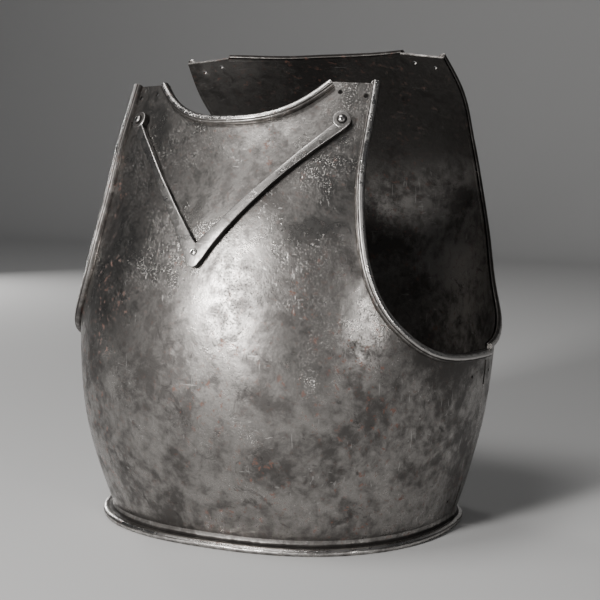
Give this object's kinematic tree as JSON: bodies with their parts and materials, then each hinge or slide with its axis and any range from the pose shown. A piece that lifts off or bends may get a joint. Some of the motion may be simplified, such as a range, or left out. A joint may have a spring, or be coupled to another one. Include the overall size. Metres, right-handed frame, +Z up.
{
  "type": "steel breastplate",
  "caption": "Steel breastplate with matching backplate, rolled arm and neck edges, flared waist flange and a V-shaped stop rib riveted below the neck.",
  "frame": {"origin": "middle of the bounding box at the underside of the waist flange, which stands on the floor", "axes": "+Z up towards the neck, -Y the way the breast faces, +X towards the wearer's left arm"},
  "size_m": [0.414, 0.3674, 0.4454],
  "materials": {
    "breast_steel": "aged bare steel, semi-bright, mottled and finely pitted with brown specks",
    "back_steel": "aged bare steel, dull and mottled on the inside",
    "rib_steel": "aged bare steel, worn bright on the edges",
    "rivet_steel": "polished steel heads, dark round the foot"
  },
  "bodies": {
    "root": {"breast_plate": "breast_steel", "back_plate": "back_steel", "stop_rib": "rib_steel", "rivet_left": "rivet_steel", "rivet_right": "rivet_steel", "rivet_point": "rivet_steel"}
  },
  "joints": []
}
